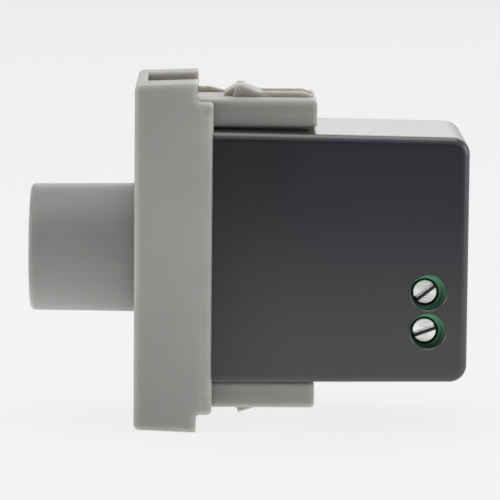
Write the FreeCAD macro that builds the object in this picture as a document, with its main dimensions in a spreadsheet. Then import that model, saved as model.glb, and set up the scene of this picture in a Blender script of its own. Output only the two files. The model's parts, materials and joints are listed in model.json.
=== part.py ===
import FreeCAD, Part
import Sketcher
import math
import os

# Fan dimmer module: one 22.5 by 45 mm modular insert with a push and turn knob.
#
# Row frame: the origin is the centre of the mounting plane, which is the rear step
# face of the front plate. -Y is the front, where the knob is, +Y goes back into the
# wall, +Z is up, and +X is the side with the two terminal screws. All sizes are mm.

DOC = FreeCAD.newDocument("FanDimmerModule")
SHEET = DOC.addObject("Spreadsheet::Sheet", "Sizes")

SIZES = {
    # front plate of the moulded frame
    "plate_width": 22.5,
    "plate_height": 45.0,
    "plate_depth": 7.95,
    "plate_draft": 0.3,
    "plate_wall": 2.8,
    "plate_edge_radius": 0.7,
    "notch_edge_radius": 0.3,
    # lip behind the plate, which goes into the mounting frame's window
    "lip_depth": 2.07,
    "step_top": 2.62,
    "step_bottom": 2.3,
    "lip_corner_radius": 0.6,
    "step_fillet": 0.5,
    "fit_gap": 0.15,
    # knob well in the face
    "well_depth": 1.6,
    "well_gap": 0.45,
    # two arms that reach back over the housing
    "arm_inset": 3.95,
    "arm_reach": 15.3,
    "arm_rise": 0.22,
    "upper_arm_height": 3.55,
    "lower_arm_height": 3.4,
    "lower_arm_inset": 0.35,
    "arm_edge_radius": 0.6,
    "arm_end_radius": 0.5,
    # cheek that stiffens the upper arm beside the wide half of the slot
    "cheek_height": 0.45,
    "cheek_rear": 1.5,
    "cheek_foot": 3.2,
    # webs that hold the arms off the housing
    "web_inset": 1.8,
    "web_reach": 14.5,
    # slot for the latch tongue, open to the notch in the plate's top
    "notch_near": 4.5,
    "notch_far": 6.4,
    "notch_front_wall": 1.45,
    "slot_near": 3.05,
    "slot_far": 6.4,
    "slot_drop": 0.4,
    "bridge_depth": 1.3,
    "bridge_drop": 0.12,
    # latch tongue
    "tongue_half_width": 2.55,
    "tongue_thickness": 1.2,
    "tongue_front": 5.4,
    "rib_thickness": 0.8,
    "rib_height": 0.67,
    "rib_rear": 15.0,
    "rib_rear_slope": 1.4,
    "rib_rear_height": 0.16,
    "fin_front": 4.5,
    "fin_brow": 4.75,
    "fin_brow_height": 1.1,
    "fin_crest": 5.15,
    "fin_height": 1.58,
    "fin_back": 5.9,
    "fin_shoulder": 6.3,
    "fin_shoulder_height": 1.28,
    "fin_foot": 9.5,
    "fin_overhang": 0.3,
    "fin_edge_radius": 0.26,
    "rib_edge_radius": 0.25,
    "catch_front": 3.37,
    "catch_front_height": 0.1,
    "catch_nose": 3.6,
    "catch_nose_height": 0.6,
    "catch_crest": 5.3,
    "catch_height": 1.5,
    "catch_back": 6.0,
    "catch_foot": 9.4,
    "hinge_gap": 0.05,
    # fixed catch under the lower arm
    "hook_half_width": 2.0,
    "hook_front": 4.9,
    "hook_crest": 5.55,
    "hook_height": 1.62,
    "hook_shoulder": 6.5,
    "hook_shoulder_height": 1.3,
    "hook_foot": 10.4,
    # rear housing
    "housing_inset": 0.32,
    "housing_gap_top": 0.22,
    "housing_gap_bottom": 0.45,
    "housing_rear": 34.75,
    "housing_draft_top": 0.5,
    "housing_draft_bottom": 0.25,
    "housing_corner_radius": 2.2,
    "housing_edge_radius": 1.1,
    "housing_wall": 1.43,
    "rear_wall": 1.5,
    "housing_roof": 1.9,
    "housing_floor": 1.85,
    "shoulder_depth": 1.4,
    # neck of the housing, which snaps into the frame
    "neck_inset_side": 1.03,
    "neck_inset": 1.2,
    "neck_wall": 1.15,
    "neck_front_gap": 0.4,
    "neck_corner_radius": 1.0,
    "nub_height": 0.5,
    "nub_front": 3.6,
    "nub_rear": 1.8,
    "nub_inner": 5.2,
    "nub_outer": 7.8,
    # openings of the housing
    "access_hole_radius": 2.28,
    "access_hole_chamfer": 0.15,
    "access_offset_back": 0.34,
    "access_offset_up": 0.24,
    "wire_hole_radius": 2.0,
    "wire_hole_chamfer": 0.3,
    # knob
    "knob_radius": 8.37,
    "knob_end_radius": 8.25,
    "knob_end": 21.6,
    "knob_wall": 1.4,
    "knob_end_wall": 1.5,
    "knob_edge_radius": 0.6,
    "hub_radius": 4.4,
    "knob_web": 1.0,
    "knob_webs": 4,
    "web_recess": 2.0,
    "push_travel": 0.8,
    "push_clearance": 0.25,
    # shaft of the control, flat on one side in the knob
    "shaft_radius": 3.0,
    "shaft_setback": 3.2,
    "shaft_flat": 1.5,
    "shaft_flat_gap": 0.7,
    "shaft_chamfer": 0.4,
    "bore_gap": 0.05,
    "bore_end_gap": 0.2,
    "leaf_thickness": 0.3,
    "leaf_width": 3.0,
    "leaf_length": 6.0,
    "collar_radius": 3.9,
    "collar_thickness": 1.0,
    "drive_radius": 2.0,
    "drive_flat": 1.5,
    "drive_reach": 0.7,
    # bushing, nut and washer
    "bushing_radius": 3.5,
    "thread_end": 0.4,
    "cover_thickness": 0.8,
    "washer_radius": 6.0,
    "washer_thickness": 0.4,
    "nut_across_flats": 10.0,
    "nut_thickness": 1.9,
    # rotary control
    "control_side_gap": 0.5,
    "control_half_height": 5.6,
    "control_wall": 0.5,
    "rotor_gap": 0.2,
    "collar_clearance": 0.6,
    "rotor_thickness": 2.2,
    "rotor_cheek": 0.8,
    "collar_gap": 0.1,
    "wiper_thickness": 0.25,
    "wiper_width": 1.2,
    "wiper_edge": 0.15,
    "finger_gap": 0.05,
    "track_gap": 1.2,
    "track_thickness": 0.8,
    "track_hole_gap": 0.2,
    "control_pin_pitch": 2.5,
    "control_pin_size": 0.6,
    "control_pin_inset": 0.8,
    # push switch behind the control
    "switch_gap": 0.3,
    "switch_depth": 7.0,
    "switch_half_height": 5.2,
    "switch_wall": 0.7,
    "plunger_radius": 2.1,
    "plunger_gap": 0.1,
    "plunger_nose": 1.6,
    "flange_radius": 3.1,
    "flange_thickness": 0.8,
    "chamber_radius": 3.4,
    "stem_radius": 1.1,
    "stem_clearance": 0.5,
    "spring_radius": 1.9,
    "spring_wire": 0.36,
    "spring_turns": 2.5,
    "spring_gap": 0.05,
    "switch_pin_pitch": 5.0,
    "switch_pin_inset": 0.8,
    # circuit board
    "board_side_gap": 0.25,
    "board_thickness": 1.6,
    "board_front": -3.0,
    "board_margin": 0.8,
    "lead_reach": 0.8,
    "lead_gap": 0.12,
    "ledge_front": 12.0,
    "ledge_drop": 1.6,
    # terminal block
    "block_reach": 4.85,
    "block_top_gap": 0.9,
    "block_margin": 0.2,
    "terminal_pitch": 5.0,
    "terminal_rise": 7.35,
    "screw_setback": 3.75,
    "block_rear_gap": 0.15,
    "well_radius": 1.8,
    "well_depth_over_head": 2.0,
    "pocket_roof": 0.7,
    "pocket_floor_gap": 0.3,
    "clamp_gap": 0.2,
    # terminal screw
    "screw_head_radius": 1.56,
    "screw_head_height": 1.8,
    "screw_head_gap": 0.05,
    "screw_radius": 1.2,
    "screw_slot_width": 0.65,
    "screw_slot_depth": 0.9,
    "upper_slot_angle": 38.0,
    "lower_slot_angle": 20.0,
    "screw_tip_gap": 0.15,
    # rising clamp
    "clamp_depth": 4.6,
    "clamp_width": 3.8,
    "clamp_roof": 1.1,
    "clamp_floor": 0.9,
    "clamp_side": 0.7,
    "clamp_head_room": 0.15,
    "clamp_bore_gap": 0.06,
    # contact bar and its tail
    "bar_drop": 3.4,
    "bar_thickness": 0.6,
    "bar_width": 2.0,
    "bar_reach": 1.95,
    "tail_inset": 0.7,
    "tail_thickness": 0.6,
    # drum choke
    "choke_margin": 1.0,
    "choke_flange_radius": 4.6,
    "choke_core_radius": 2.2,
    "choke_winding_radius": 4.2,
    "choke_height": 9.6,
    "choke_flange": 1.2,
    "choke_lead_spread": 2.8,
    # film capacitor
    "film_front": 10.5,
    "film_length": 10.0,
    "film_margin": 0.3,
    "film_width": 5.0,
    "film_height": 11.0,
    "film_radius": 0.5,
    # electrolytic capacitor
    "can_back": 15.6,
    "can_gap": 0.25,
    "can_radius": 3.5,
    "can_height": 12.0,
    "can_groove": 0.35,
    "can_groove_at": 1.6,
    # fuse
    "fuse_back": 15.6,
    "fuse_radius": 3.6,
    "fuse_height": 7.7,
    # varistor
    "varistor_back": 4.0,
    "varistor_rise": 3.3,
    "varistor_reach": 6.3,
    "varistor_radius": 4.3,
    "varistor_thickness": 3.4,
    "varistor_edge": 0.8,
    # power transistors and their heat spreader
    "transistor_back": 0.9,
    "transistor_pitch": 7.7,
    "transistor_width": 6.6,
    "transistor_height": 6.1,
    "transistor_thickness": 2.3,
    "transistor_reach": 3.0,
    "transistor_tab": 1.0,
    "transistor_tab_inset": 0.8,
    "transistor_tab_thickness": 0.6,
    "spreader_margin": 0.15,
    "spreader_thickness": 1.0,
    "spreader_front": -2.6,
    "spreader_rear": 19.0,
    "spreader_side_gap": 0.75,
    "spreader_corner_radius": 0.26,
    # control chip and small resistors on the back of the board
    "chip_back": 12.5,
    "chip_up": 2.0,
    "chip_length": 5.0,
    "chip_width": 4.0,
    "chip_thickness": 1.0,
    "chip_leads": 4,
    "chip_lead": 1.0,
    "resistor_length": 2.0,
    "resistor_width": 1.25,
    "resistor_thickness": 0.5,
    "resistor_back": 16.0,
    "resistor_pitch": 2.6,
    "resistors": 5,
    "resistor_up": -1.5,
    # leads of the components
    "lead_radius": 0.35,
    "lead_spread": 5.0,
}

for row, (alias, number) in enumerate(SIZES.items(), 1):
    SHEET.set(f"A{row}", alias)
    SHEET.set(f"B{row}", str(number))
    SHEET.setAlias(f"B{row}", alias)
DOC.recompute()


class Size:
    """A length or angle: its value now and the expression on the sheet that gives it."""

    def __init__(self, value, text):
        self.value = value
        self.text = text

    def joined(self, sign, value, other):
        return Size(value, f"({self.text} {sign} {other.text})")

    def __add__(self, other):
        other = as_size(other)
        return self.joined("+", self.value + other.value, other)

    def __sub__(self, other):
        other = as_size(other)
        return self.joined("-", self.value - other.value, other)

    def __mul__(self, other):
        other = as_size(other)
        return self.joined("*", self.value * other.value, other)

    def __truediv__(self, other):
        other = as_size(other)
        return self.joined("/", self.value / other.value, other)

    def __radd__(self, other):
        return as_size(other) + self

    def __rsub__(self, other):
        return as_size(other) - self

    def __rmul__(self, other):
        return as_size(other) * self

    def __neg__(self):
        return Size(-self.value, f"(0 - {self.text})")


def as_size(value):
    """A plain number as a Size; a Size stays as it is."""
    if isinstance(value, Size):
        return value
    return Size(float(value), f"({value:g})")


class Sheet:
    """Reads a driving size by its name, as in d.plate_width."""

    def __getattr__(self, alias):
        return Size(float(SIZES[alias]), f"Sizes.{alias}")


d = Sheet()
NOTHING = Size(0.0, "0")
PLANES = {"X": "YZ_Plane", "Y": "XZ_Plane", "Z": "XY_Plane"}
AXES = {"X": FreeCAD.Vector(1, 0, 0), "Y": FreeCAD.Vector(0, 1, 0), "Z": FreeCAD.Vector(0, 0, 1)}
TOLERANCE = 1e-3

# Outline of the frame, its lip and arms
half_width = d.plate_width / 2
half_height = d.plate_height / 2
plate_inside = d.plate_wall - d.plate_depth
well_bottom = d.well_depth - d.plate_depth
lip_top = half_height - d.step_top
lip_bottom = half_height - d.step_bottom
arm_half = half_width - d.arm_inset
arm_top = lip_top + d.arm_rise
arm_bottom = arm_top - d.upper_arm_height
lower_arm_bottom = lip_bottom - d.lower_arm_inset
lower_arm_top = lower_arm_bottom - d.lower_arm_height
slot_floor = arm_bottom - d.slot_drop
hinge_back = d.arm_reach - d.bridge_depth
hinge_up = arm_top - d.tongue_thickness / 2

# Housing between the arms, its neck and its room
housing_half = half_width - d.housing_inset
housing_top = arm_bottom - d.housing_gap_top
housing_bottom = lower_arm_top - d.housing_gap_bottom
web_half = arm_half - d.web_inset
web_run = (d.web_reach - d.lip_depth) / (d.housing_rear - d.lip_depth)
neck_half = housing_half - d.neck_inset_side
neck_top = housing_top - d.neck_inset
neck_bottom = housing_bottom - d.neck_inset
neck_front = plate_inside + d.neck_front_gap
neck_room = neck_half - d.neck_wall
opening_half = neck_half + d.fit_gap
opening_top = neck_top + d.fit_gap
opening_bottom = neck_bottom + d.fit_gap
cavity_rear = d.housing_rear - d.rear_wall
cavity_half = housing_half - d.housing_wall
ceiling = housing_top - d.housing_roof
cellar = housing_bottom - d.housing_floor

# Circuit board on its ledges, on the far side of the housing
board_back = d.board_side_gap + d.chip_thickness - neck_room
board_face = board_back + d.board_thickness
board_top = ceiling - d.board_margin
board_bottom = cellar - d.board_margin
lead_end = board_back - d.lead_reach

# Knob, bushing and rotary control, from front to back
bushing_front = well_bottom - d.washer_thickness - d.nut_thickness - d.thread_end
knob_base = well_bottom - d.push_travel - d.push_clearance
hub_base = bushing_front - d.push_travel - d.push_clearance
knob_end = -d.knob_end
shaft_front = knob_end + d.shaft_setback
control_face = plate_inside + d.cover_thickness
control_half = -board_face - d.control_side_gap
rotor_front = control_face + d.collar_thickness + d.push_travel + d.collar_clearance
rotor_rear = rotor_front + d.rotor_thickness
rotor_room = control_half - d.control_wall
rotor_radius = rotor_room - d.rotor_gap
track_front = rotor_rear + d.track_gap
track_rear = track_front + d.track_thickness

# Push switch behind the control
switch_front = track_rear + d.switch_gap
switch_rear = switch_front + d.switch_depth
drive_end = switch_front + d.drive_reach
plunger_shoulder = drive_end + d.plunger_nose
flange_rear = plunger_shoulder + d.flange_thickness
chamber_rear = switch_rear - d.switch_wall

# Terminals, from the near wall inwards
block_rear = cavity_rear - d.block_rear_gap
screw_line = block_rear - d.screw_setback
block_front = screw_line - d.block_reach
block_top = cavity_half - d.block_top_gap
well_floor = block_top - d.well_depth_over_head
pocket_top = well_floor - d.pocket_roof
bar_top = pocket_top - d.bar_drop
bar_under = bar_top - d.bar_thickness
wire_line = bar_under - d.wire_hole_radius
clamp_top = bar_top + d.clamp_head_room + d.clamp_roof
clamp_bottom = wire_line - d.wire_hole_radius - d.clamp_floor
terminal_middle = d.terminal_rise - cellar
upper_terminal = terminal_middle + d.terminal_pitch / 2
lower_terminal = terminal_middle - d.terminal_pitch / 2
tail_front = block_front + d.tail_inset

# Components on the board
spreader_top = board_top - d.spreader_margin
spreader_under = spreader_top - d.spreader_thickness
transistor_foot = board_face + d.transistor_reach
choke_back = block_rear - d.choke_margin - d.choke_flange_radius
choke_up = board_top - d.choke_margin - d.choke_flange_radius
can_up = spreader_under - d.can_gap - d.can_radius
can_half_spread = d.lead_spread / 4
film_up = d.film_margin + d.film_width / 2 - board_bottom
fuse_up = (can_up - d.can_radius + film_up + d.film_width / 2) / 2
fuse_half_spread = d.lead_spread / 2
varistor_up = d.varistor_rise - board_bottom
varistor_out = board_face + d.varistor_reach


def bind(thing, prop, size):
    """Sets a property by the sheet."""
    thing.setExpression(prop, as_size(size).text)


def new_body(name):
    body = DOC.addObject("PartDesign::Body", name)
    body.Label = name
    return body


def sketch_on(body, axis, place, name):
    """Sketch square to an axis, at a place along it; XZ sketches face -Y."""
    sketch = body.newObject("Sketcher::SketchObject", name)
    plane = [item for item in body.Origin.OriginFeatures if item.Role == PLANES[axis]][0]
    sketch.AttachmentSupport = [(plane, "")]
    sketch.MapMode = "FlatFace"
    offset = as_size(place)
    if axis == "Y":
        offset = -offset
    sketch.AttachmentOffset = FreeCAD.Placement(FreeCAD.Vector(0, 0, offset.value), FreeCAD.Rotation())
    bind(sketch, "AttachmentOffset.Base.z", offset)
    return sketch


def hold(sketch, element, point, across, up):
    """Holds a point by its two distances from the sketch's origin."""
    for kind, size, line in (("DistanceX", as_size(across), -2), ("DistanceY", as_size(up), -1)):
        if size.text in ("0", "(0)"):
            sketch.addConstraint(Sketcher.Constraint("PointOnObject", element, point, line))
            continue
        index = sketch.addConstraint(Sketcher.Constraint(kind, -1, 1, element, point, size.value))
        bind(sketch, f"Constraints[{index}]", size)


def polygon(sketch, corners):
    """Closed outline through corners, given as pairs across and up."""
    points = [FreeCAD.Vector(as_size(a).value, as_size(b).value, 0) for a, b in corners]
    first = sketch.GeometryCount
    count = len(points)
    for i in range(count):
        sketch.addGeometry(Part.LineSegment(points[i], points[(i + 1) % count]), False)
    for i in range(count):
        follower = first + (i + 1) % count
        sketch.addConstraint(Sketcher.Constraint("Coincident", first + i, 2, follower, 1))
    for i, (across, up) in enumerate(corners):
        hold(sketch, first + i, 1, across, up)


def rectangle(sketch, left, right, low, high):
    polygon(sketch, [(left, low), (right, low), (right, high), (left, high)])


def rounded_rectangle(sketch, left, right, low, high, radius):
    """Rectangle with one radius at its four corners."""
    size = as_size(radius)
    sides = [as_size(place) for place in (left, right, low, high)]
    inset = [sides[0] + size, sides[1] - size, sides[2] + size, sides[3] - size]
    x0, x1, y0, y1 = (place.value for place in sides)
    u0, u1, v0, v1 = (place.value for place in inset)
    lines = [((u0, y0), (u1, y0)), ((x1, v0), (x1, v1)), ((u1, y1), (u0, y1)), ((x0, v1), (x0, v0))]
    centres = [(u1, v0), (u1, v1), (u0, v1), (u0, v0)]
    first = sketch.GeometryCount
    for start, end in lines:
        sketch.addGeometry(Part.LineSegment(FreeCAD.Vector(*start, 0), FreeCAD.Vector(*end, 0)), False)
    for i, centre in enumerate(centres):
        ring = Part.Circle(FreeCAD.Vector(*centre, 0), FreeCAD.Vector(0, 0, 1), size.value)
        start = (i - 1) * math.pi / 2
        sketch.addGeometry(Part.ArcOfCircle(ring, start, start + math.pi / 2), False)
    for i in range(4):
        arc = first + 4 + i
        sketch.addConstraint(Sketcher.Constraint("Tangent", first + i, 2, arc, 1))
        sketch.addConstraint(Sketcher.Constraint("Tangent", arc, 2, first + (i + 1) % 4, 1))
        sketch.addConstraint(Sketcher.Constraint("Vertical" if i % 2 else "Horizontal", first + i))
        index = sketch.addConstraint(Sketcher.Constraint("Radius", arc, size.value))
        bind(sketch, f"Constraints[{index}]", size)
    hold(sketch, first + 5, 3, inset[1], inset[3])
    hold(sketch, first + 7, 3, inset[0], inset[2])


def circle(sketch, across, up, radius):
    centre = FreeCAD.Vector(as_size(across).value, as_size(up).value, 0)
    shape = Part.Circle(centre, FreeCAD.Vector(0, 0, 1), radius.value)
    element = sketch.addGeometry(shape, False)
    hold(sketch, element, 3, across, up)
    index = sketch.addConstraint(Sketcher.Constraint("Radius", element, radius.value))
    bind(sketch, f"Constraints[{index}]", radius)


def flatted_circle(sketch, radius, flat):
    """Circle about the origin, cut straight across at a height."""
    start = math.pi - math.asin(flat.value / radius.value)
    end = 2 * math.pi + math.asin(flat.value / radius.value)
    ring = Part.Circle(FreeCAD.Vector(0, 0, 0), FreeCAD.Vector(0, 0, 1), radius.value)
    arc = sketch.addGeometry(Part.ArcOfCircle(ring, start, end), False)
    left = FreeCAD.Vector(radius.value * math.cos(start), flat.value, 0)
    right = FreeCAD.Vector(radius.value * math.cos(end), flat.value, 0)
    chord = sketch.addGeometry(Part.LineSegment(left, right), False)
    sketch.addConstraint(Sketcher.Constraint("Coincident", arc, 3, -1, 1))
    sketch.addConstraint(Sketcher.Constraint("Coincident", arc, 1, chord, 1))
    sketch.addConstraint(Sketcher.Constraint("Coincident", arc, 2, chord, 2))
    sketch.addConstraint(Sketcher.Constraint("Horizontal", chord))
    index = sketch.addConstraint(Sketcher.Constraint("Radius", arc, radius.value))
    bind(sketch, f"Constraints[{index}]", radius)
    index = sketch.addConstraint(Sketcher.Constraint("DistanceY", -1, 1, chord, 1, flat.value))
    bind(sketch, f"Constraints[{index}]", flat)


def prism(body, name, axis, start, end, draw, cut=False):
    """Pad, or pocket, of an outline from one place along an axis to a higher one."""
    sketch = sketch_on(body, axis, start, name + "_sketch")
    draw(sketch)
    kind = "PartDesign::Pocket" if cut else "PartDesign::Pad"
    feature = body.newObject(kind, name)
    feature.Profile = sketch
    feature.Reversed = (axis == "Y") != cut
    bind(feature, "Length", as_size(end) - as_size(start))
    return feature


def turned(body, name, axis, corners, cut=False):
    """Revolution, or groove, of an outline of pairs along and out, about X or Y."""
    sketch = sketch_on(body, "Z" if axis == "X" else "X", NOTHING, name + "_sketch")
    polygon(sketch, corners)
    kind = "PartDesign::Groove" if cut else "PartDesign::Revolution"
    feature = body.newObject(kind, name)
    feature.Profile = sketch
    feature.ReferenceAxis = (sketch, ["H_Axis"])
    feature.Angle = 360.0
    return feature


def edge_line(edge):
    """Unit direction from an edge's first end to its last, or None on a closed edge."""
    if len(edge.Vertexes) < 2:
        return None
    step = edge.Vertexes[-1].Point - edge.Vertexes[0].Point
    return step.normalize() if step.Length > TOLERANCE else None


def along(edge, axis, **places):
    """Whether an edge runs along an axis with its middle at the given places."""
    line = edge_line(edge)
    if line is None or line.cross(AXES[axis]).Length > TOLERANCE:
        return False
    return centred(edge, **places)


def centred(edge, **places):
    """Whether an edge's centre of mass has the given x, y or z."""
    centre = edge.CenterOfMass
    return all(
        abs(getattr(centre, key) - as_size(value).value) < TOLERANCE
        for key, value in places.items()
    )


def dressed(body, feature, name, size, test, kind="Fillet"):
    """Rounds, or chamfers, the edges of a feature that a test picks."""
    DOC.recompute()
    edges = [f"Edge{i}" for i, edge in enumerate(feature.Shape.Edges, 1) if test(edge)]
    if not edges:
        raise RuntimeError(f"{name}: no edge found")
    dress = body.newObject("PartDesign::" + kind, name)
    dress.Base = (feature, edges)
    bind(dress, "Radius" if kind == "Fillet" else "Size", size)
    return dress


def box(name, low, high):
    """Part box between two corners."""
    shape = DOC.addObject("Part::Box", name)
    for prop, axis, start, end in zip(("Length", "Width", "Height"), "xyz", low, high):
        bind(shape, prop, as_size(end) - as_size(start))
        bind(shape, "Placement.Base." + axis, start)
    return shape


def cylinder(name, axis, centre, length, radius):
    """Part cylinder from a centre, towards plus along an axis."""
    shape = DOC.addObject("Part::Cylinder", name)
    turn = FreeCAD.Rotation(FreeCAD.Vector(0, 0, 1), AXES[axis])
    shape.Placement = FreeCAD.Placement(FreeCAD.Vector(0, 0, 0), turn)
    bind(shape, "Radius", radius)
    bind(shape, "Height", length)
    for key, place in zip("xyz", centre):
        bind(shape, "Placement.Base." + key, place)
    return shape


def cut(name, base, tools):
    """Base less its tools."""
    tool = tools[0]
    if len(tools) > 1:
        tool = DOC.addObject("Part::MultiFuse", name + "_tools")
        tool.Shapes = tools
    result = DOC.addObject("Part::Cut", name)
    result.Base = base
    result.Tool = tool
    return result


def fused(name, shapes):
    result = DOC.addObject("Part::MultiFuse", name)
    result.Shapes = shapes
    result.Refine = True
    return result


def group(name, shapes):
    """Separate solids under one name."""
    result = DOC.addObject("Part::Compound", name)
    result.Links = shapes
    return result


def leads(name, places, start):
    """Round leads along X from a start height down through the board."""
    made = []
    for i, (back, up) in enumerate(places):
        centre = (lead_end, back, up)
        made.append(cylinder(f"{name}_{i}", "X", centre, as_size(start) - lead_end, d.lead_radius))
    return made


def front_frame():
    """Moulded frame: plate, lip, knob well, notch, two arms and the fixed catch."""
    body = new_body("front_frame")
    front = -d.plate_depth
    low_front = d.plate_draft - half_height
    outline = [
        (front, low_front), (NOTHING, -half_height), (NOTHING, -lip_bottom),
        (d.lip_depth, -lip_bottom), (d.lip_depth, lip_top), (NOTHING, lip_top),
        (NOTHING, half_height), (front, half_height - d.plate_draft),
    ]
    plate = prism(body, "plate", "X", -half_width, half_width, lambda s: polygon(s, outline))
    lip_round = dressed(
        body, plate, "lip_round", d.lip_corner_radius,
        lambda e: along(e, "X", y=d.lip_depth),
    )
    step_round = dressed(
        body, lip_round, "step_round", d.step_fillet,
        lambda e: along(e, "X", y=0, z=lip_top) or along(e, "X", y=0, z=-lip_bottom),
    )
    face_round = dressed(
        body, step_round, "face_round", d.plate_edge_radius,
        lambda e: along(e, "X", y=front),
    )
    dressed(
        body, face_round, "side_round", d.plate_edge_radius,
        lambda e: centred(e, x=half_width) or centred(e, x=-half_width),
    )

    arms = (
        ("upper_arm", arm_bottom, arm_top),
        ("lower_arm", -lower_arm_bottom, -lower_arm_top),
    )
    for name, low, high in arms:
        section = lambda s: rounded_rectangle(
            s, -arm_half, arm_half, low, high, d.arm_edge_radius,
        )
        arm = prism(body, name, "Y", NOTHING, d.arm_reach, section)
        dressed(
            body, arm, name + "_round", d.arm_end_radius,
            lambda e: centred(e, y=d.arm_reach) and low.value < e.CenterOfMass.z + TOLERANCE
            and e.CenterOfMass.z < high.value + TOLERANCE,
        )

    cheek_top = arm_top + d.cheek_height
    over = cheek_top + d.cheek_height
    section = lambda s: rounded_rectangle(
        s, -arm_half, NOTHING, arm_bottom, cheek_top, d.arm_edge_radius,
    )
    prism(body, "cheek", "Y", NOTHING, d.cheek_foot, section)
    slope = [
        (d.cheek_rear, cheek_top), (d.cheek_foot, arm_top), (d.cheek_foot, over), (d.cheek_rear, over),
    ]
    prism(body, "cheek_slope", "X", -half_width, half_width, lambda s: polygon(s, slope), cut=True)
    webs = (
        ("upper_web", housing_top, d.housing_draft_top, arm_bottom + d.arm_edge_radius),
        ("lower_web", -housing_bottom, -d.housing_draft_bottom, -lower_arm_top - d.arm_edge_radius),
    )
    for name, seat, fall, root in webs:
        section = [
            (NOTHING, root), (NOTHING, seat), (d.lip_depth, seat),
            (d.web_reach, seat - fall * web_run), (d.web_reach, root),
        ]
        prism(body, name, "X", -web_half, web_half, lambda s: polygon(s, section))

    hook_base = d.hook_height / 2 - lower_arm_bottom
    hook = [
        (d.hook_front, hook_base),
        (d.hook_front, -lower_arm_bottom),
        (d.hook_crest, -lower_arm_bottom - d.hook_height),
        (d.hook_shoulder, -lower_arm_bottom - d.hook_shoulder_height),
        (d.hook_foot, -lower_arm_bottom),
        (d.hook_foot, hook_base),
    ]
    prism(body, "hook", "X", -d.hook_half_width, d.hook_half_width, lambda s: polygon(s, hook))

    opening = lambda s: rectangle(s, -opening_half, opening_half, -opening_bottom, opening_top)
    prism(body, "opening", "Y", plate_inside, d.lip_depth, opening, cut=True)
    well = lambda s: circle(s, NOTHING, NOTHING, d.knob_radius + d.well_gap)
    prism(body, "well", "Y", front, well_bottom, well, cut=True)
    bore = lambda s: circle(s, NOTHING, NOTHING, d.bushing_radius + d.bore_gap)
    prism(body, "bushing_hole", "Y", well_bottom, plate_inside, bore, cut=True)

    notch_front = d.notch_front_wall - d.plate_depth
    notch = lambda s: rectangle(s, notch_front, NOTHING, arm_bottom, half_height + d.step_fillet)
    notched = prism(body, "notch", "X", -d.notch_far, d.notch_near, notch, cut=True)
    dressed(
        body, notched, "notch_round", d.notch_edge_radius,
        lambda e: e.CenterOfMass.z > half_height.value - d.plate_draft.value - TOLERANCE
        and (centred(e, x=-d.notch_far) or centred(e, x=d.notch_near) or centred(e, y=notch_front)),
    )
    bridge_top = arm_top - d.bridge_drop
    slot = [
        (NOTHING, slot_floor), (hinge_back, slot_floor), (hinge_back, bridge_top),
        (d.arm_reach, bridge_top), (d.arm_reach, half_height), (NOTHING, half_height),
    ]
    prism(body, "slot", "X", -d.slot_far, d.slot_near, lambda s: polygon(s, slot), cut=True)
    seat_radius = d.tongue_thickness / 2 + d.hinge_gap
    seat = lambda s: circle(s, hinge_back, hinge_up, seat_radius)
    prism(body, "hinge_seat", "X", -d.slot_far, d.slot_near, seat, cut=True)

    window_rear = d.fit_gap - d.nub_rear
    window_front = -d.nub_front - d.fit_gap

    def windows(sketch):
        """Four undercuts for the neck's nubs."""
        for side in (-1, 1):
            near = side * (d.nub_inner - d.fit_gap)
            far = side * (d.nub_outer + d.fit_gap)
            deep = d.nub_height + d.fit_gap
            rectangle(sketch, near, far, opening_top, neck_top + deep)
            rectangle(sketch, near, far, -neck_bottom - deep, -opening_bottom)

    prism(body, "nub_windows", "Y", window_front, window_rear, windows, cut=True)
    return body


def latch_tongue():
    """Springy tongue with two side ribs, their fins and the catch between them."""
    body = new_body("latch_tongue")
    base = arm_top - d.tongue_thickness
    width = d.tongue_half_width
    plate = lambda s: rectangle(s, -d.tongue_front, hinge_back, base, arm_top)
    prism(body, "tongue_plate", "X", -width, width, plate)
    root = lambda s: circle(s, hinge_back, hinge_up, d.tongue_thickness / 2)
    prism(body, "tongue_root", "X", -width, width, root)
    middle = arm_top - d.tongue_thickness / 4
    rib = [
        (d.fin_brow, middle),
        (d.fin_brow, arm_top + d.rib_height),
        (d.rib_rear - d.rib_rear_slope, arm_top + d.rib_height),
        (d.rib_rear, arm_top + d.rib_rear_height),
        (d.rib_rear, arm_top),
        (hinge_back, arm_top),
        (hinge_back, middle),
    ]
    for name, start in (("near_rib", width - d.rib_thickness), ("far_rib", -width)):
        rail = prism(body, name, "X", start, start + d.rib_thickness, lambda s: polygon(s, rib))
        dressed(
            body, rail, name + "_round", d.rib_edge_radius,
            lambda e: centred(e, x=math.copysign(width.value, start.value))
            and e.CenterOfMass.z > arm_top.value + d.rib_rear_height.value,
        )
    catch = [
        (d.catch_front, middle),
        (d.catch_front, arm_top + d.catch_front_height),
        (d.catch_nose, arm_top + d.catch_nose_height),
        (d.catch_crest, arm_top + d.catch_height),
        (d.catch_back, arm_top + d.catch_height),
        (d.catch_foot, arm_top),
        (d.catch_foot, middle),
    ]
    inner = width - d.rib_thickness
    prism(body, "catch", "X", -inner, inner, lambda s: polygon(s, catch))
    fin = [
        (d.fin_front, middle),
        (d.fin_front, arm_top),
        (d.fin_brow, arm_top + d.fin_brow_height),
        (d.fin_crest, arm_top + d.fin_height),
        (d.fin_back, arm_top + d.fin_height),
        (d.fin_shoulder, arm_top + d.fin_shoulder_height),
        (d.fin_foot, arm_top),
        (d.fin_foot, middle),
    ]
    outer = width + d.fin_overhang
    for name, start, face in (("near_fin", inner, outer), ("far_fin", -outer, -outer)):
        blade = prism(body, name, "X", start, start + outer - inner, lambda s: polygon(s, fin))
        dressed(
            body, blade, name + "_round", d.fin_edge_radius,
            lambda e: centred(e, x=face) and e.CenterOfMass.z > arm_top.value,
        )
    return body


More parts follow.
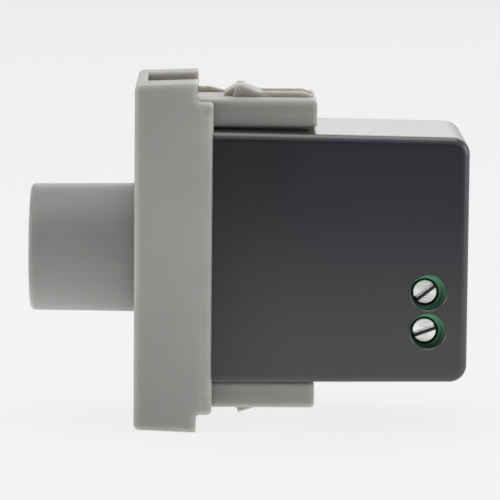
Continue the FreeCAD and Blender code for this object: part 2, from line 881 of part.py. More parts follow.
def knob():
    """Turned cap with a webbed hub and a flatted bore for the shaft."""
    body = new_body("knob")
    inner = d.knob_radius - d.knob_wall
    floor = knob_end + d.knob_end_wall
    outline = [
        (knob_end, NOTHING), (knob_base, NOTHING), (knob_base, d.knob_radius),
        (knob_end, d.knob_end_radius),
    ]
    cap = turned(body, "cap", "Y", outline)
    dressed(
        body, cap, "rim_round", d.knob_edge_radius,
        lambda e: centred(e, y=knob_end) and len(e.Vertexes) == 1,
    )
    hollow = [
        (knob_base, NOTHING), (hub_base, NOTHING), (hub_base, d.hub_radius), (floor, d.hub_radius),
        (floor, inner), (knob_base, inner),
    ]
    turned(body, "hollow", "Y", hollow, cut=True)
    bore_end = shaft_front - d.bore_end_gap
    bore_flat = d.shaft_flat + d.leaf_thickness + 2 * d.bore_gap
    bore = lambda s: flatted_circle(s, d.shaft_radius + d.bore_gap, bore_flat)
    prism(body, "bore", "Y", bore_end, hub_base, bore, cut=True)
    overlap = d.knob_web / 2
    web = lambda s: rectangle(s, d.hub_radius - overlap, inner + overlap, -d.knob_web / 2, d.knob_web / 2)
    first = prism(body, "web", "Y", floor - overlap, hub_base - d.web_recess, web)
    webs = body.newObject("PartDesign::PolarPattern", "webs")
    webs.Originals = [first]
    axis = [item for item in body.Origin.OriginFeatures if item.Role == "Y_Axis"][0]
    webs.Axis = (axis, [""])
    webs.Angle = 360.0
    bind(webs, "Occurrences", d.knob_webs)
    body.Tip = webs
    return body


def knob_grip_spring():
    """Leaf between the knob's bore and the shaft's flat."""
    low = d.shaft_flat + d.bore_gap
    rear = hub_base - d.bore_gap
    half = d.leaf_width / 2
    return box("knob_grip_spring", (-half, rear - d.leaf_length, low), (half, rear, low + d.leaf_thickness))


def pot_shaft():
    """Control shaft: flatted nose, round journal, stop collar and two-flat drive."""
    body = new_body("pot_shaft")
    front = shaft_front
    collar_front = control_face
    collar_rear = collar_front + d.collar_thickness
    outline = [
        (front, NOTHING),
        (front, d.shaft_radius - d.shaft_chamfer),
        (front + d.shaft_chamfer, d.shaft_radius),
        (collar_front, d.shaft_radius),
        (collar_front, d.collar_radius),
        (collar_rear, d.collar_radius),
        (collar_rear, d.drive_radius),
        (drive_end, d.drive_radius),
        (drive_end, NOTHING),
    ]
    turned(body, "spindle", "Y", outline)
    reach = d.shaft_radius + d.bore_gap
    flat = lambda s: rectangle(s, -reach, reach, d.shaft_flat, reach)
    prism(body, "nose_flat", "Y", front, bushing_front - d.shaft_flat_gap, flat, cut=True)
    drive = d.drive_radius + d.bore_gap

    def flats(sketch):
        """Two flats that drive the rotor."""
        rectangle(sketch, -drive, drive, d.drive_flat, drive)
        rectangle(sketch, -drive, drive, -drive, -d.drive_flat)

    prism(body, "drive_flats", "Y", collar_rear, drive_end, flats, cut=True)
    return body


def pot_bushing():
    """Cover plate of the control with its threaded bushing."""
    body = new_body("pot_bushing")
    half = control_half
    tall = d.control_half_height
    cover = lambda s: rectangle(s, -half, half, -tall, tall)
    prism(body, "cover", "Y", plate_inside, control_face, cover)
    tube = lambda s: circle(s, NOTHING, NOTHING, d.bushing_radius)
    sleeve = prism(body, "sleeve", "Y", bushing_front, plate_inside, tube)
    dressed(
        body, sleeve, "sleeve_chamfer", d.shaft_chamfer,
        lambda e: centred(e, y=bushing_front), kind="Chamfer",
    )
    bore = lambda s: circle(s, NOTHING, NOTHING, d.shaft_radius + d.bore_gap)
    prism(body, "bore", "Y", bushing_front, control_face, bore, cut=True)
    return body


def lock_washer():
    """Washer under the nut, on the floor of the knob's well."""
    body = new_body("lock_washer")
    front = well_bottom - d.washer_thickness

    def ring(sketch):
        circle(sketch, NOTHING, NOTHING, d.washer_radius)
        circle(sketch, NOTHING, NOTHING, d.bushing_radius + d.bore_gap)

    prism(body, "ring", "Y", front, well_bottom, ring)
    return body


def pot_nut():
    """Hexagon nut that clamps the control to the frame."""
    body = new_body("pot_nut")
    rear = well_bottom - d.washer_thickness
    half = d.nut_across_flats / 2
    corner = d.nut_across_flats / math.sqrt(3)

    def hexagon(sketch):
        corners = [
            (corner, NOTHING), (corner / 2, half), (-corner / 2, half),
            (-corner, NOTHING), (-corner / 2, -half), (corner / 2, -half),
        ]
        polygon(sketch, corners)
        circle(sketch, NOTHING, NOTHING, d.bushing_radius + d.bore_gap)

    prism(body, "hexagon", "Y", rear - d.nut_thickness, rear, hexagon)
    return body


def pot_case():
    """Case of the rotary control, open at the back for the rotor and the track."""
    half = control_half
    tall = d.control_half_height
    shell = box("pot_case_block", (-half, control_face, -tall), (half, track_front, tall))
    collar_depth = rotor_front - d.fit_gap - control_face
    collar_room = d.collar_radius + d.collar_gap
    front = cylinder("pot_case_collar", "Y", (0, control_face, 0), collar_depth, collar_room)
    rotor_start = rotor_front - d.fit_gap
    rotor_depth = track_front - rotor_start
    rear = cylinder("pot_case_rotor", "Y", (0, rotor_start, 0), rotor_depth, rotor_room)
    return cut("pot_case", shell, [front, rear])


def wiper_rotor():
    """Disc turned by the shaft's two flats."""
    body = new_body("wiper_rotor")

    def disc(sketch):
        circle(sketch, NOTHING, NOTHING, rotor_radius)

    prism(body, "disc", "Y", rotor_front, rotor_rear, disc)
    across = d.drive_radius + d.bore_gap
    flat = d.drive_flat + d.bore_gap
    bore = lambda s: circle(s, NOTHING, NOTHING, across)
    prism(body, "bore", "Y", rotor_front, rotor_rear, bore, cut=True)

    def cheeks(sketch):
        """Two flats inside the bore."""
        rectangle(sketch, -across, across, flat, across + d.rotor_cheek)
        rectangle(sketch, -across, across, -across - d.rotor_cheek, -flat)

    prism(body, "cheeks", "Y", rotor_front, rotor_rear, cheeks)
    return body


def wiper_contact():
    """Spring contact on the rotor, with one finger towards the track."""
    body = new_body("wiper_contact")
    front = rotor_rear
    outer = rotor_radius - d.wiper_edge
    inner = outer - d.wiper_width

    def ring(sketch):
        circle(sketch, NOTHING, NOTHING, outer)
        circle(sketch, NOTHING, NOTHING, inner)

    prism(body, "ring", "Y", front, front + d.wiper_thickness, ring)
    half = d.control_pin_size / 2
    finger = lambda s: rectangle(s, -half, half, inner + half, outer - half)
    prism(body, "finger", "Y", front, track_front - d.finger_gap, finger)
    return body


def pot_track():
    """Insulating plate that carries the resistive track."""
    half = control_half
    tall = d.control_half_height
    plate = box("pot_track_plate", (-half, track_front, -tall), (half, track_rear, tall))
    centre = (0, track_front, 0)
    hole = cylinder("pot_track_hole", "Y", centre, d.track_thickness, d.drive_radius + d.track_hole_gap)
    return cut("pot_track", plate, [hole])


def pot_pins():
    """Three terminal pins from the back of the track plate into the board."""
    pins = []
    half = d.control_pin_size / 2
    inner = -d.drive_radius - d.track_hole_gap - d.control_pin_inset
    for i in (-1, 0, 1):
        up = i * d.control_pin_pitch
        low = (lead_end, track_rear, up - half)
        high = (inner, switch_front, up + half)
        pins.append(box(f"pot_pin_{i + 1}", low, high))
    return group("pot_pins", pins)


def push_switch_case():
    """Case of the push switch with its plunger bore and spring chamber."""
    half = control_half
    tall = d.switch_half_height
    shell = box("switch_block", (-half, switch_front, -tall), (half, switch_rear, tall))
    bore_radius = d.plunger_radius + d.plunger_gap
    bore_depth = plunger_shoulder - switch_front
    bore = cylinder("switch_bore", "Y", (0, switch_front, 0), bore_depth, bore_radius)
    depth = chamber_rear - plunger_shoulder
    chamber = cylinder("switch_chamber", "Y", (0, plunger_shoulder, 0), depth, d.chamber_radius)
    return cut("push_switch_case", shell, [bore, chamber])


def push_plunger():
    """Plunger that the shaft pushes back, with a flange that ends its way out."""
    body = new_body("push_plunger")
    stem_rear = chamber_rear - d.push_travel - d.stem_clearance
    outline = [
        (drive_end, NOTHING),
        (drive_end, d.plunger_radius),
        (plunger_shoulder, d.plunger_radius),
        (plunger_shoulder, d.flange_radius),
        (flange_rear, d.flange_radius),
        (flange_rear, d.stem_radius),
        (stem_rear, d.stem_radius),
        (stem_rear, NOTHING),
    ]
    turned(body, "plunger", "Y", outline)
    return body


def return_spring():
    """Compression spring between the plunger's flange and the back of the switch."""
    body = new_body("return_spring")
    wire = d.spring_wire / 2
    first = flange_rear + wire + d.spring_gap
    last = chamber_rear - wire - d.spring_gap
    sketch = sketch_on(body, "X", NOTHING, "wire_section")
    circle(sketch, first, d.spring_radius, wire)
    coil = body.newObject("PartDesign::AdditiveHelix", "coil")
    coil.Profile = sketch
    coil.ReferenceAxis = (sketch, ["H_Axis"])
    coil.Mode = "height-turns-angle"
    bind(coil, "Height", last - first)
    bind(coil, "Turns", d.spring_turns)
    return body


def switch_pin_places():
    back = switch_rear - d.switch_pin_inset
    return [(back, d.switch_pin_pitch / 2), (back, -d.switch_pin_pitch / 2)]


def switch_pins():
    """Two contact pins from the side of the switch into the board."""
    return group("switch_pins", leads("switch_pin", switch_pin_places(), -control_half))


def choke_lead_places():
    spread = d.choke_lead_spread
    return [(choke_back, choke_up + spread), (choke_back, choke_up - spread)]


def film_lead_places():
    inset = d.lead_spread / 2
    return [(d.film_front + inset, film_up), (d.film_front + d.film_length - inset, film_up)]


def can_lead_places():
    return [(d.can_back - can_half_spread, can_up), (d.can_back + can_half_spread, can_up)]


def fuse_lead_places():
    return [(d.fuse_back - fuse_half_spread, fuse_up), (d.fuse_back + fuse_half_spread, fuse_up)]


def varistor_lead_places():
    half = d.lead_spread / 2
    return [(d.varistor_back - half, varistor_up), (d.varistor_back + half, varistor_up)]


def transistor_lead_places():
    up = spreader_under - d.transistor_thickness / 2
    places = []
    for which in (0, 1):
        centre = d.transistor_back + which * d.transistor_pitch
        for step in (-1, 0, 1):
            places.append((centre + step * d.transistor_width / 3, up))
    return places


def circuit_board():
    """Board on edge behind the control, drilled for every lead that passes it."""
    body = new_body("circuit_board")
    outline = lambda s: rectangle(s, d.board_front, block_rear, -board_bottom, board_top)
    prism(body, "sheet", "X", board_back, board_face, outline)
    places = (
        switch_pin_places() + choke_lead_places() + film_lead_places() + can_lead_places()
        + fuse_lead_places() + varistor_lead_places() + transistor_lead_places()
    )

    def holes(sketch):
        """Round holes for the leads."""
        for back, up in places:
            circle(sketch, back, up, d.lead_radius + d.lead_gap)

    prism(body, "lead_holes", "X", board_back, board_face, holes, cut=True)

    def slots(sketch):
        """Square holes for the control's pins and the terminal tails."""
        gap = d.lead_gap
        half = d.control_pin_size / 2 + gap
        for i in (-1, 0, 1):
            up = i * d.control_pin_pitch
            rectangle(sketch, track_rear - gap, switch_front + gap, up - half, up + half)
        wide = d.bar_width / 2 + gap
        for up in (upper_terminal, lower_terminal):
            tail_rear = tail_front + d.tail_thickness
            rectangle(sketch, tail_front - gap, tail_rear + gap, up - wide, up + wide)

    prism(body, "slots", "X", board_back, board_face, slots, cut=True)
    return body


def terminal_block():
    """Two-pole block: screw wells, clamp pockets, wire entries and tail slots."""
    body = new_body("terminal_block")
    end = d.terminal_pitch + d.block_margin
    low = terminal_middle - end
    high = terminal_middle + end
    outline = lambda s: rectangle(s, block_front, block_rear, low, high)
    prism(body, "block", "X", board_face, block_top, outline)
    pair = (upper_terminal, lower_terminal)

    def wells(sketch):
        for up in pair:
            circle(sketch, screw_line, up, d.well_radius)

    prism(body, "screw_wells", "X", well_floor, block_top, wells, cut=True)

    def bores(sketch):
        for up in pair:
            circle(sketch, screw_line, up, d.screw_radius + d.clamp_gap)

    prism(body, "screw_bores", "X", pocket_top, well_floor, bores, cut=True)
    half_depth = d.clamp_depth / 2 + d.clamp_gap
    half_clamp = d.clamp_width / 2 + d.clamp_gap

    def pockets(sketch):
        for up in pair:
            rectangle(
                sketch, screw_line - half_depth, screw_line + half_depth,
                up - half_clamp, up + half_clamp,
            )

    prism(body, "clamp_pockets", "X", clamp_bottom - d.pocket_floor_gap, pocket_top, pockets, cut=True)

    def entries(sketch):
        for up in pair:
            circle(sketch, wire_line, up, d.wire_hole_radius)

    prism(body, "wire_entries", "Y", screw_line + half_depth, block_rear, entries, cut=True)
    wide = d.bar_width / 2 + d.lead_gap

    def tail_slots(sketch):
        for up in pair:
            rectangle(sketch, tail_front - d.lead_gap, screw_line - half_depth, up - wide, up + wide)

    prism(body, "tail_slots", "X", board_face, bar_top + d.lead_gap, tail_slots, cut=True)
    return body


def terminal_tails():
    """Two contact bars over the wires, each with a tail down through the board."""
    tails = []
    half = d.bar_width / 2
    for name, up in (("upper", upper_terminal), ("lower", lower_terminal)):
        bar_rear = screw_line + d.bar_reach
        bar = box(f"bar_{name}", (bar_under, tail_front, up - half), (bar_top, bar_rear, up + half))
        tail_rear = tail_front + d.tail_thickness
        tail = box(f"tail_{name}", (lead_end, tail_front, up - half), (bar_top, tail_rear, up + half))
        tails.append(fused(f"contact_{name}", [bar, tail]))
    return group("terminal_tails", tails)


def terminal_screw(name, up, angle):
    """Slotted clamp screw, modelled on its own axis and placed at its pole."""
    body = new_body(name)
    head_bottom = well_floor + d.screw_head_gap
    head_top = head_bottom + d.screw_head_height
    tip = bar_top + d.screw_tip_gap
    outline = [
        (tip, NOTHING),
        (tip, d.screw_radius),
        (head_bottom, d.screw_radius),
        (head_bottom, d.screw_head_radius),
        (head_top, d.screw_head_radius),
        (head_top, NOTHING),
    ]
    screw = turned(body, "turning", "X", outline)
    dressed(
        body, screw, "head_chamfer", d.screw_head_gap * 2,
        lambda e: centred(e, x=head_top) and len(e.Vertexes) == 1, kind="Chamfer",
    )
    reach = d.screw_head_radius + d.screw_head_gap
    half = d.screw_slot_width / 2
    slot = lambda s: rectangle(s, -reach, reach, -half, half)
    prism(body, "driver_slot", "X", head_top - d.screw_slot_depth, head_top, slot, cut=True)
    body.Placement = FreeCAD.Placement(FreeCAD.Vector(0, 0, 0), FreeCAD.Rotation(AXES["X"], angle.value))
    bind(body, "Placement.Rotation.Angle", angle)
    bind(body, "Placement.Base.y", screw_line)
    bind(body, "Placement.Base.z", up)
    return body


def clamp_cage(name, up):
    """Rising clamp: a box section that the screw lifts against the contact bar."""
    half_depth = d.clamp_depth / 2
    half = d.clamp_width / 2
    front = screw_line - half_depth
    rear = screw_line + half_depth
    block = box(name + "_block", (clamp_bottom, front, up - half), (clamp_top, rear, up + half))
    low = (clamp_bottom + d.clamp_floor, front, up - half + d.clamp_side)
    high = (clamp_top - d.clamp_roof, rear, up + half - d.clamp_side)
    window = box(name + "_window", low, high)
    centre = (clamp_top - d.clamp_roof, screw_line, up)
    thread = cylinder(name + "_thread", "X", centre, d.clamp_roof, d.screw_radius + d.clamp_bore_gap)
    return cut(name, block, [window, thread])


def choke():
    """Drum choke: spool-shaped ferrite core and the wire wound on it."""
    core = new_body("choke_core")
    top = board_face + d.choke_height
    outline = [
        (board_face, NOTHING),
        (board_face, d.choke_flange_radius),
        (board_face + d.choke_flange, d.choke_flange_radius),
        (board_face + d.choke_flange, d.choke_core_radius),
        (top - d.choke_flange, d.choke_core_radius),
        (top - d.choke_flange, d.choke_flange_radius),
        (top, d.choke_flange_radius),
        (top, NOTHING),
    ]
    turned(core, "drum", "X", outline)
    bind(core, "Placement.Base.y", choke_back)
    bind(core, "Placement.Base.z", choke_up)
    winding = new_body("choke_winding")
    sleeve = [
        (board_face + d.choke_flange, d.choke_core_radius),
        (board_face + d.choke_flange, d.choke_winding_radius),
        (top - d.choke_flange, d.choke_winding_radius),
        (top - d.choke_flange, d.choke_core_radius),
    ]
    turned(winding, "sleeve", "X", sleeve)
    bind(winding, "Placement.Base.y", choke_back)
    bind(winding, "Placement.Base.z", choke_up)
    return [core, winding]


def choke_leads():
    """Two lead pins of the choke, under its lower flange."""
    return group("choke_leads", leads("choke_lead", choke_lead_places(), board_face))


def film_capacitor():
    """Boxed film capacitor standing on the board."""
    body = new_body("film_capacitor")
    half = d.film_width / 2
    rear = d.film_front + d.film_length
    outline = lambda s: rectangle(s, d.film_front, rear, film_up - half, film_up + half)
    top = board_face + d.film_height
    case = prism(body, "case", "X", board_face, top, outline)
    dressed(
        body, case, "case_round", d.film_radius,
        lambda e: along(e, "X") or centred(e, x=top),
    )

    def pins(sketch):
        for back, up in film_lead_places():
            circle(sketch, back, up, d.lead_radius)

    prism(body, "pins", "X", lead_end, board_face, pins)
    return body


def electrolytic_capacitor():
    """Round can with its crimped groove, standing on the board."""
    body = new_body("electrolytic_capacitor")
    top = board_face + d.can_height
    groove = board_face + d.can_groove_at
    outline = [
        (board_face, NOTHING),
        (board_face, d.can_radius),
        (groove - d.can_groove, d.can_radius),
        (groove, d.can_radius - d.can_groove),
        (groove + d.can_groove, d.can_radius),
        (top, d.can_radius),
        (top, NOTHING),
    ]
    can = turned(body, "can", "X", outline)
    dressed(body, can, "can_round", d.can_groove, lambda e: centred(e, x=top) and len(e.Vertexes) == 1)

    def pins(sketch):
        circle(sketch, can_half_spread, NOTHING, d.lead_radius)
        circle(sketch, -can_half_spread, NOTHING, d.lead_radius)

    prism(body, "pins", "X", lead_end, board_face, pins)
    bind(body, "Placement.Base.y", d.can_back)
    bind(body, "Placement.Base.z", can_up)
    return body


def fuse():
    """Round cased fuse standing on the board."""
    places = fuse_lead_places()
    case = cylinder("fuse_case", "X", (board_face, d.fuse_back, fuse_up), d.fuse_height, d.fuse_radius)
    return fused("fuse", [case] + leads("fuse_lead", places, board_face))


def varistor():
    """Coated disc on two long leads, below the control."""
    low = varistor_up - d.varistor_thickness / 2
    centre = (varistor_out, d.varistor_back, low)
    disc = cylinder("varistor_disc", "Z", centre, d.varistor_thickness, d.varistor_radius)
    rounded = DOC.addObject("Part::Fillet", "varistor_rounded")
    rounded.Base = disc
    edge = d.varistor_edge.value
    rounded.Edges = [(1, edge, edge), (3, edge, edge)]
    return fused("varistor", [rounded] + leads("varistor_lead", varistor_lead_places(), varistor_out))


def power_transistors():
    """Two flat power transistors under the heat spreader."""
    parts = []
    low = spreader_under - d.transistor_thickness
    foot = transistor_foot
    top = foot + d.transistor_height
    places = transistor_lead_places()
    for which in (0, 1):
        centre = d.transistor_back + which * d.transistor_pitch
        half = d.transistor_width / 2
        case_low = (foot, centre - half, low)
        case_high = (top, centre + half, spreader_under)
        case = box(f"transistor_case_{which}", case_low, case_high)
        tab_half = half - d.transistor_tab_inset
        tab_low = (top, centre - tab_half, spreader_under - d.transistor_tab_thickness)
        tab_high = (top + d.transistor_tab, centre + tab_half, spreader_under)
        tab = box(f"transistor_tab_{which}", tab_low, tab_high)
        pins = leads(f"transistor_lead_{which}", places[3 * which:3 * which + 3], foot)
        parts.append(fused(f"transistor_{which}", [case, tab] + pins))
    return group("power_transistors", parts)


def heat_spreader():
    """Aluminium plate that the transistors sit against, standing on the board."""
    body = new_body("heat_spreader")
    side = neck_room - d.spreader_side_gap
    outline = lambda s: rectangle(s, d.spreader_front, d.spreader_rear, spreader_under, spreader_top)
    plate = prism(body, "plate", "X", board_face, side, outline)
    dressed(
        body, plate, "plate_round", d.spreader_corner_radius,
        lambda e: along(e, "Z", x=side),
    )
    return body


def control_chip():
    """Small control circuit soldered to the back of the board."""
    half_long = d.chip_length / 2
    half_wide = d.chip_width / 2
    front = board_back - d.chip_thickness
    low = (front, d.chip_back - half_long, d.chip_up - half_wide)
    high = (board_back - d.fit_gap, d.chip_back + half_long, d.chip_up + half_wide)
    parts = [box("chip_case", low, high)]
    step = d.chip_length / d.chip_leads
    half = d.lead_radius / 2
    reach = half_wide + d.chip_lead
    for i in range(SIZES["chip_leads"]):
        back = d.chip_back - half_long + (i + 0.5) * step
        lead_low = (board_back - d.lead_radius, back - half, d.chip_up - reach)
        lead_high = (board_back, back + half, d.chip_up + reach)
        parts.append(box(f"chip_lead_{i}", lead_low, lead_high))
    return fused("control_chip", parts)


def chip_resistors():
    """Row of identical small resistors on the back of the board."""
    first = box(
        "resistor",
        (board_back - d.resistor_thickness, d.resistor_back, d.resistor_up),
        (board_back, d.resistor_back + d.resistor_width, d.resistor_up + d.resistor_length),
    )
    parts = [first]
    for i in range(1, SIZES["resistors"]):
        copy = DOC.addObject("Part::Feature", f"resistor_{i}")
        DOC.recompute()
        copy.Shape = first.Shape
        bind(copy, "Placement.Base.x", board_back - d.resistor_thickness)
        bind(copy, "Placement.Base.y", d.resistor_back + i * d.resistor_pitch)
        bind(copy, "Placement.Base.z", d.resistor_up)
        parts.append(copy)
    return group("chip_resistors", parts)


def rear_housing():
    """Moulded cup: drafted shell, neck with snap nubs, access and wire holes."""
    body = new_body("rear_housing")
    top_rear = housing_top - d.housing_draft_top
    bottom_rear = d.housing_draft_bottom - housing_bottom
    outline = [
        (d.lip_depth, -housing_bottom), (d.housing_rear, bottom_rear),
        (d.housing_rear, top_rear), (d.lip_depth, housing_top),
    ]
    shell = prism(body, "shell", "X", -housing_half, housing_half, lambda s: polygon(s, outline))
    corners = dressed(
        body, shell, "rear_round", d.housing_corner_radius,
        lambda e: along(e, "X", y=d.housing_rear),
    )
    dressed(
        body, corners, "side_round", d.housing_edge_radius,
        lambda e: abs(abs(e.CenterOfMass.x) - housing_half.value) < TOLERANCE
        and e.CenterOfMass.y > d.lip_depth.value + TOLERANCE,
    )
    neck = lambda s: rectangle(s, -neck_half, neck_half, -neck_bottom, neck_top)
    collar = prism(body, "neck", "Y", neck_front, d.lip_depth, neck)
    dressed(
        body, collar, "neck_round", d.neck_corner_radius,
        lambda e: along(e, "Y") and e.CenterOfMass.y < 0,
    )
    mouth = lambda s: rectangle(s, -neck_room, neck_room, d.neck_wall - neck_bottom, neck_top - d.neck_wall)
    shoulder = d.lip_depth + d.shoulder_depth
    prism(body, "mouth", "Y", neck_front, shoulder, mouth, cut=True)
    room = lambda s: rectangle(s, -cavity_half, cavity_half, -cellar, ceiling)
    prism(body, "room", "Y", shoulder, cavity_rear, room, cut=True)
    for name, low, high in (
        ("upper_ledge", ceiling - d.ledge_drop, ceiling + d.fit_gap),
        ("lower_ledge", -cellar - d.fit_gap, d.ledge_drop - cellar),
    ):
        ledge = lambda s: rectangle(s, -cavity_half - d.fit_gap, board_back, low, high)
        prism(body, name, "Y", d.ledge_front, cavity_rear + d.fit_gap, ledge)
    for name, side in (("top_nub", 1), ("bottom_nub", -1)):
        face = neck_top if side > 0 else neck_bottom
        nub = [
            (-d.nub_front, side * (face - d.fit_gap)),
            (-d.nub_front, side * face),
            (-d.nub_rear, side * (face + d.nub_height)),
            (-d.nub_rear, side * (face - d.fit_gap)),
        ]
        for hand, start in (("near", d.nub_inner), ("far", -d.nub_outer)):
            end = start + d.nub_outer - d.nub_inner
            prism(body, f"{name}_{hand}", "X", start, end, lambda s: polygon(s, nub))

    hole_back = screw_line + d.access_offset_back

    def access(sketch):
        for up in (upper_terminal, lower_terminal):
            circle(sketch, hole_back, up + d.access_offset_up, d.access_hole_radius)

    holes = prism(body, "access_holes", "X", cavity_half, housing_half, access, cut=True)
    dressed(
        body, holes, "access_chamfer", d.access_hole_chamfer,
        lambda e: centred(e, x=housing_half, y=hole_back) and len(e.Vertexes) == 1, kind="Chamfer",
    )

    def entries(sketch):
        for up in (upper_terminal, lower_terminal):
            circle(sketch, wire_line, up, d.wire_hole_radius)

    wires = prism(body, "wire_holes", "Y", cavity_rear, d.housing_rear, entries, cut=True)
    dressed(
        body, wires, "wire_chamfer", d.wire_hole_chamfer,
        lambda e: centred(e, x=wire_line, y=d.housing_rear) and len(e.Vertexes) == 1, kind="Chamfer",
    )
    return body


PIECES = [
    front_frame(), latch_tongue(), knob(), knob_grip_spring(), rear_housing(), pot_shaft(),
    pot_bushing(), lock_washer(), pot_nut(), pot_case(), wiper_rotor(), wiper_contact(),
    pot_track(), pot_pins(), push_switch_case(), push_plunger(), return_spring(), switch_pins(),
    circuit_board(), terminal_block(), terminal_tails(),
    terminal_screw("terminal_screw_upper", upper_terminal, d.upper_slot_angle),
    terminal_screw("terminal_screw_lower", lower_terminal, d.lower_slot_angle),
    clamp_cage("clamp_cage_upper", upper_terminal),
    clamp_cage("clamp_cage_lower", lower_terminal),
    *choke(), choke_leads(), film_capacitor(), electrolytic_capacitor(), fuse(), varistor(),
    power_transistors(), heat_spreader(), control_chip(), chip_resistors(),
]
DOC.recompute()

faults = []
for item in DOC.Objects:
    if "Invalid" in item.State or "Error" in item.State:
        faults.append(f"{item.Name}: {item.State} {item.getStatusString()}")
    elif item.TypeId in ("PartDesign::Pocket", "PartDesign::Groove"):
        if item.Shape.isNull() or item.Shape.Volume >= item.BaseFeature.Shape.Volume - TOLERANCE:
            faults.append(f"{item.Name} cuts nothing")
for piece in PIECES:
    if piece.Shape.isNull() or not piece.Shape.isValid() or not piece.Shape.Solids:
        faults.append(f"{piece.Label}: bad shape")
if faults:
    raise RuntimeError("; ".join(faults))

os.makedirs("parts", exist_ok=True)
for piece in PIECES:
    piece.Shape.exportStep(f"parts/{piece.Label}.step")
    print(piece.Label, len(piece.Shape.Solids), round(piece.Shape.Volume, 2))
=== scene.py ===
import json
import math
from collections import namedtuple

import bpy
from mathutils import Matrix, Vector


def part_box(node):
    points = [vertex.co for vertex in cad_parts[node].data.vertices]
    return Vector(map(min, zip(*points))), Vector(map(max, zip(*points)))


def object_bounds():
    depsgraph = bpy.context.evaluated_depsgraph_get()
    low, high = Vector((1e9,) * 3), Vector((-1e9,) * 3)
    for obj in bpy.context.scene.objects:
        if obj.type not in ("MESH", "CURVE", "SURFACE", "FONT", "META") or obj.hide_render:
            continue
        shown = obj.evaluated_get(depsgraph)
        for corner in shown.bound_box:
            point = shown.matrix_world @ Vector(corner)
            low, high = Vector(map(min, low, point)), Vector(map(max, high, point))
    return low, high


# Fan dimmer module: moulded grey front frame with a round knob, dark rear housing with
# two screw terminals behind access holes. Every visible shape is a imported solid; this
# script adds the materials, the camera, the lamps, the table and the background.
#
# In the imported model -Y is the front with the knob, +X the side with the screws and +Z
# up, and Y is 0 at the rear step face of the plate. Objects are placed in metres. Masks
# and textures are written in millimetres.

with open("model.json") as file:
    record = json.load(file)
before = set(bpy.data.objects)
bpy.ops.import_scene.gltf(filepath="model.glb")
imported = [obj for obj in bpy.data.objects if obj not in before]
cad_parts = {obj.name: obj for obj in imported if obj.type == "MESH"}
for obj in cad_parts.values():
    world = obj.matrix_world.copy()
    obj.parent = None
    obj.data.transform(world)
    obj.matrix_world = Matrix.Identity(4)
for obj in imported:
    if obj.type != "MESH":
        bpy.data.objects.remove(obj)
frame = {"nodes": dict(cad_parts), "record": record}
cad_low, cad_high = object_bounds()

MM = 0.001
FULL_TURN = 2 * math.pi

# camera, as fitted to the photograph; its places are written in millimetres
PHOTO_SIZE = 500
FOCAL_PIXELS = 3679.04
SENSOR_WIDTH = 36.0
CAMERA_PLACE = Vector((475.402, 3.469, 67.577)) * MM
CAMERA_AIM = Vector((0.0, 6.914, -0.272)) * MM
CAMERA_ROLL = 0.0086
CAMERA_NEAREST = 0.01
CAMERA_FARTHEST = 20.0

# soft lamps: place in metres, and strength
LAMP_SIZE = 0.5
LAMP_AIM = (0.0, 0.006, 0.0)
LAMPS = {
    "top_lamp": ((-0.03, 0.0, 0.6), 2.05),
    "left_lamp": ((0.1, -0.6, 0.12), 2.0),
    "right_lamp": ((0.1, 0.6, 0.12), 2.6),
    "back_lamp": ((-0.6, 0.1, 0.33), 1.28),
}

# table and background: tones far from and near to the camera, the places in X between
# which the table goes from one to the other, and half the table's side in metres
BACKDROP_FAR = (0.855, 0.855, 0.871)
BACKDROP_NEAR = (0.905, 0.905, 0.905)
FAR_EDGE = -600.0
NEAR_EDGE = 50.0
TABLE_HALF = 8.0
TABLE_COLOUR = (0.8, 0.8, 0.8)

# light that table and background give: the share of the table's shading that glows,
# where it is seen and where it only lights the part, and the strength of that light
GLOW_SEEN = 0.9
GLOW_UNSEEN = 0.45
TABLE_LIGHT = 2.7
WORLD_LIGHT = 0.62

# mirrored rays find the tent open towards the camera, where only this much light is left:
# past these places in X on the table, and past these shares of X in a ray's direction
DARK_SIDE = 0.03
TABLE_DARK = (130.0, 210.0)
WORLD_DARK = (0.75, 0.98)

# tones of metal; the last three are the screws' scuffed painted light in the upper slot half,
# painted slot shadow, and painted shade round the head
TIN = (0.72, 0.72, 0.70)
BRASS = (0.70, 0.67, 0.58)
SCREW_PLATING = (0.97, 0.975, 0.95)
SCUFFED_SLOT_LIGHT = (0.42, 0.42, 0.41)
SLOT_SHADOW_STEEL = (0.16, 0.16, 0.15)
RIM_SHADE = (0.012, 0.012, 0.011)

# soft clouds in every finish: cells per millimetre, and strength beside the fine grain's
CLOUD_SCALE = 0.16
CLOUD_CONTRAST = 2.0

# how far clouds and fine grain change the roughness
CLOUD_ROUGHNESS = 0.12
GRAIN_ROUGHNESS = 0.08

# small rub marks: stretch, turn and scale of their noise, and where it becomes a mark
RUB_STRETCH = (0.45, 0.6, 2.4)
RUB_TURN = (0.4, 0.3, 0.7)
RUB_SCALE = 1.3
RUB_EDGE = (0.68, 0.76)

# walls of the notch round the latch tongue, middles of the two arms, and how far the
# housing's top falls to the rear
# the notch walls and arm middles below bound the frame's painted light and shade
NOTCH_FAR = -6.4
NOTCH_NEAR = 4.5
NOTCH_FRONT = -6.5
NOTCH_FLOOR = 16.55
UPPER_ARM_MIDDLE = 18.5
LOWER_ARM_MIDDLE = -17.7
HOUSING_FALL = 0.5

# sizes of small parts that their boxes don't tell
SCREW_SLOT_HALF = 0.32
SCREW_HEAD_HEIGHT = 1.8
SCREW_RING_PITCH = 0.1848
SCREW_THREAD_PITCH = 0.45
BUSHING_THREAD_PITCH = 0.75
BOARD_TRACK_PITCH = 2.5
WINDING_PITCH = 0.5
CHIP_FOOT_REACH = 1.0
RESISTOR_END_LENGTH = 0.36
TRANSISTOR_LEG_HEIGHT = 3.0
TRANSISTOR_TAB_HEIGHT = 1.0


